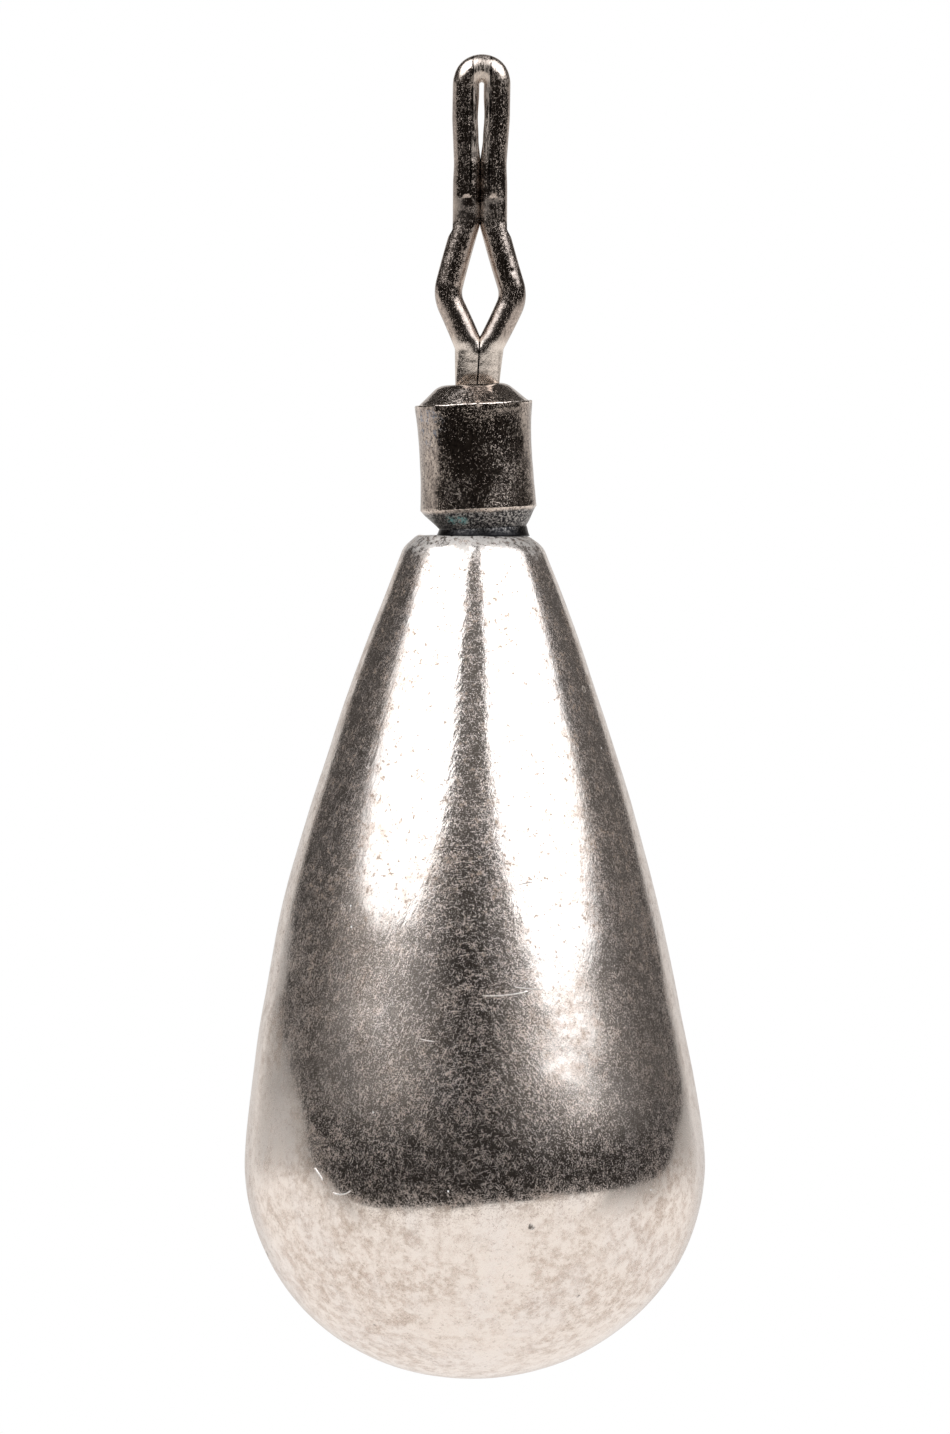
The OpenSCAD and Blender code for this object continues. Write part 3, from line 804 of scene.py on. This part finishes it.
def headedNeck(bm, neck, top, low):
    # the round neck under the legs and the formed head inside the barrel
    size = {"head": 0.976, "edge": 0.25, "dome": 0.3, "bevel": 0.15, "sides": 64, "domeSteps": 8}
    seat = low + size["dome"] + size["edge"] + size["bevel"]
    edgeZ = seat - size["bevel"] - size["edge"]
    points = [(0, top)]
    runTo(points, (neck, top), steps=3)
    runTo(points, (neck, seat), steps=6)
    runTo(points, (size["head"] - size["bevel"], seat), steps=3)
    runTo(points, (size["head"], seat - size["bevel"]), steps=2)
    runTo(points, (size["head"], edgeZ), steps=1)
    dome = [math.pi / 2 * i / size["domeSteps"] for i in range(1, size["domeSteps"])]
    points += [(size["head"] * math.cos(a), edgeZ - size["dome"] * math.sin(a)) for a in dome]
    points.append((0, low))
    stem = bmesh.new()
    turnProfile(stem, points, size["sides"])
    mesh = bpy.data.meshes.new("headedNeck")
    stem.to_mesh(mesh)
    stem.free()
    bm.from_mesh(mesh)
    bpy.data.meshes.remove(mesh)


# Studio
def studioWorld():
    # a white table and backdrop round the sinker, seen in the metal, in a dark room; Wide, Deep and High
    # are where a thing begins and is whole, to the side (X), away from the camera (Y) and up (Z)
    look = {
        "paper": (1.0, 0.955, 0.92, 1), "room": (0.0205, 0.0175, 0.0155, 1), "soft": 0.006,
        "bright": 0.98, "edgeDim": 0.36, "dimReach": 0.26, "sides": (-0.25, 0.25),
        "frontDeep": (-0.15, -0.45), "rear": 0.72, "rearDeep": (0.76, 0.92), "rearHigh": (-0.45, -0.05),
        "glow": (1.0, 0.94, 0.89, 1), "glowWide": (0.05, 0.8), "glowDeep": (0.25, -0.35),
        "glowHigh": (0.1, 0.5, 0.0, 0.5), "ceilingWide": (0.4, 0.05), "ceilingDeep": (-0.2, -0.6),
        "ceilingHigh": (0.3, 0.75, 0.0, 0.14), "wallsHigh": (0.04, 0.22), "wallsDeep": (-0.35, 0.2),
        "wallsAcross": (-0.3, 0.4, 0.04, 0.07),
        # the paper's edge as the sinker sees it, from the camera's side (0) round to the back (1):
        # the sine of its elevation, + 0.5
        "leftEdge": [(0, 0.09), (0.145, 0.115), (0.245, 0.154), (0.34, 0.24), (0.40, 0.368), (0.495, 0.52),
                     (0.585, 0.598), (0.70, 0.61), (0.86, 0.605), (0.915, 0.65), (0.95, 1.0), (1, 1.0)],
        "rightEdge": [(0, 0.15), (0.04, 0.17), (0.155, 0.25), (0.31, 0.293), (0.525, 0.38), (0.57, 0.40),
                      (0.685, 0.484), (0.755, 0.56), (0.85, 0.58), (0.92, 0.61), (0.96, 1.0), (1, 1.0)],
    }
    world = bpy.data.worlds.new("studio")
    bpy.context.scene.world = world
    net = Net(world)
    axes = net.axes(net.node("TexCoord").outputs["Generated"])
    back = net.times(net.plus(axes["Y"], 1.0), 0.5)
    left, right = (net.curve(back, look[name]) for name in ("leftEdge", "rightEdge"))
    onRight = net.remap(axes["X"], *look["sides"])
    edge = net.plus(net.times(left, net.minus(1.0, onRight)), net.times(right, onRight))
    depth = net.minus(net.minus(edge, 0.5), axes["Z"])
    table = net.remap(depth, -look["soft"], look["soft"])
    # beside and behind the sinker the paper lies in less light towards its edge
    shade = net.remap(depth, 0.0, look["dimReach"], look["edgeDim"], look["bright"], "LINEAR")
    shade = net.most(shade, net.remap(axes["Y"], *look["frontDeep"], 0.0, look["bright"]))
    rear = net.times(net.remap(axes["Y"], *look["rearDeep"]), net.remap(axes["Z"], *look["rearHigh"]))
    shade = net.plus(net.times(shade, net.minus(1.0, rear)), net.times(rear, look["rear"]))
    paper = net.mix(1.0, look["paper"], shade, "MULTIPLY")
    # below and beside each lamp the room is lit a little
    aside = net.unsigned(axes["X"])
    glow = net.times(net.remap(aside, *look["glowWide"]), net.remap(axes["Y"], *look["glowDeep"]))
    glow = net.times(glow, net.remap(axes["Z"], *look["glowHigh"], "LINEAR"))
    # and between the lamps the ceiling shows a little
    ceiling = net.times(net.remap(aside, *look["ceilingWide"]), net.remap(axes["Y"], *look["ceilingDeep"]))
    ceiling = net.times(ceiling, net.remap(axes["Z"], *look["ceilingHigh"]))
    # the walls beside and behind it are lighter too, more so on the right
    walls = net.times(net.remap(axes["Z"], *look["wallsHigh"]), net.remap(axes["Y"], *look["wallsDeep"]))
    walls = net.times(walls, net.remap(axes["X"], *look["wallsAcross"]))
    glow = net.plus(net.plus(glow, ceiling), walls)
    room = net.mix(1.0, look["room"], net.mix(1.0, look["glow"], glow, "MULTIPLY"), "ADD")
    studio = net.mix(table, room, paper)
    seen = net.node("LightPath").outputs["Is Camera Ray"]
    colour = net.mix(seen, studio, (1, 1, 1, 1))
    background = net.node("Background", {"Color": colour, "Strength": 1.0})
    net.node("OutputWorld", {"Surface": background.outputs[0]})


def softbox(name, azimuth, elevation, wide, high, brightness, shift):
    # a soft oval lamp: azimuth from the camera's side, and half its width and height in degrees;
    # it fades outwards round a point that lies to one side of its middle by shift
    lamp = {"distance": 0.5, "fade": (0.62, 0.3), "colour": (0.98, 1.0, 1.04, 1)}
    aim = Vector((0, 0, (leadHigh.z + leadLow.z) / 2))
    a, e = math.radians(azimuth), math.radians(elevation)
    back = Vector((math.sin(a) * math.cos(e), -math.cos(a) * math.cos(e), math.sin(e)))
    light = bpy.data.lights.new(name, "AREA")
    light.shape = "ELLIPSE"
    light.size = 2 * lamp["distance"] * math.tan(math.radians(wide))
    light.size_y = 2 * lamp["distance"] * math.tan(math.radians(high))
    light.energy = brightness * math.pi * math.pi * light.size * light.size_y / 4
    net = Net(light)
    across = net.node("NewGeometry").outputs["Parametric"]
    away = net.vector("DISTANCE", across, (0.5 + shift, 0.5, 0), "Value")
    strength = net.remap(away, *lamp["fade"])
    bulb = net.node("Emission", {"Color": lamp["colour"], "Strength": strength})
    net.node("OutputLight", {"Surface": bulb.outputs[0]})
    hung = intoScene(name, light)
    hung.location = aim + back * lamp["distance"]
    hung.rotation_mode = "QUATERNION"
    hung.rotation_quaternion = back.to_track_quat("Z", "Y")
    hung.visible_camera = False


def photoCamera():
    view = {
        "lens": 375.0, "elevation": 1.2, "roll": 0.25, "picture": (950, 1434), "pixel": 0.0248 * mm,
        "axisAt": 475.0, "originAt": 82.5, "clip": (0.01, 10),
    }
    camera = bpy.data.cameras.new("photoCamera")
    camera.lens = view["lens"]
    camera.clip_start, camera.clip_end = view["clip"]
    height = view["picture"][1] * view["pixel"]
    distance = view["lens"] / camera.sensor_width * height
    target = Vector(((view["picture"][0] / 2 - view["axisAt"]) * view["pixel"], 0,
                     (view["originAt"] - view["picture"][1] / 2) * view["pixel"]))
    e = math.radians(view["elevation"])
    back = Vector((0, -math.cos(e), math.sin(e)))
    holder = intoScene("photoCamera", camera)
    holder.location = target + back * distance
    holder.rotation_mode = "QUATERNION"
    roll = Matrix.Rotation(math.radians(view["roll"]), 3, "Z").to_quaternion()
    holder.rotation_quaternion = (-back).to_track_quat("-Z", "Y") @ roll
    bpy.context.scene.camera = holder


def studioFloor():
    # white paper well below the sinker, lifted a little for the camera and fading into the white
    size = {
        "drop": 60.0, "radius": 600.0, "sides": 96, "fadeFrom": 260.0, "fadeTo": 520.0, "lift": 0.4,
        "paper": (0.86, 0.86, 0.86, 1),
    }
    bm = bmesh.new()
    bmesh.ops.create_circle(bm, cap_ends=True, segments=size["sides"], radius=size["radius"] * mm)
    bmesh.ops.translate(bm, vec=(0, 0, leadLow.z - size["drop"] * mm), verts=bm.verts)
    mesh = bpy.data.meshes.new("studioFloor")
    bm.to_mesh(mesh)
    bm.free()
    floor = intoScene("studioFloor", mesh)
    material = bpy.data.materials.new("floorPaper")
    net = Net(material)
    flat = net.vector("MULTIPLY", net.node("TexCoord").outputs["Object"], (1, 1, 0))
    reach = net.vector("LENGTH", flat, result="Value")
    fade = net.ramp(reach, size["fadeFrom"], size["fadeTo"])
    ray = net.node("LightPath").outputs
    paper = net.node("BsdfDiffuse", {"Color": size["paper"]})
    lift = net.times(ray["Is Camera Ray"], size["lift"])
    lifted = net.node("Emission", {"Color": (1, 1, 1, 1), "Strength": lift})
    lit = net.node("AddShader", {0: paper.outputs[0], 1: lifted.outputs[0]})
    white = net.node("Emission", {"Color": (1, 1, 1, 1), "Strength": ray["Is Camera Ray"]})
    both = net.node("MixShader", {0: fade, 1: lit.outputs[0], 2: white.outputs[0]})
    # the metal sees the white of the studio straight through the floor
    clear = net.node("BsdfTransparent")
    shown = net.node("MixShader", {0: ray["Is Glossy Ray"], 1: both.outputs[0], 2: clear.outputs[0]})
    net.node("OutputMaterial", {"Surface": shown.outputs[0]})
    mesh.materials.append(material)


leadWeight(castLead())
swivelBarrel(barrelNickel())
lineClip(wireNickel())
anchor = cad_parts["anchor_eye"]
anchor.data.materials.clear()
anchor.data.materials.append(drawnWire())
print("pieces dressed")
studioWorld()
studioFloor()
softbox("leftSoftbox", -62, 50, 35.5, 31.5, 2.7, 0.1)
softbox("rightSoftbox", 62, 44, 36, 29.5, 2.7, -0.06)
photoCamera()
bpy.context.scene.view_settings.view_transform = "Standard"
print("studio ready")
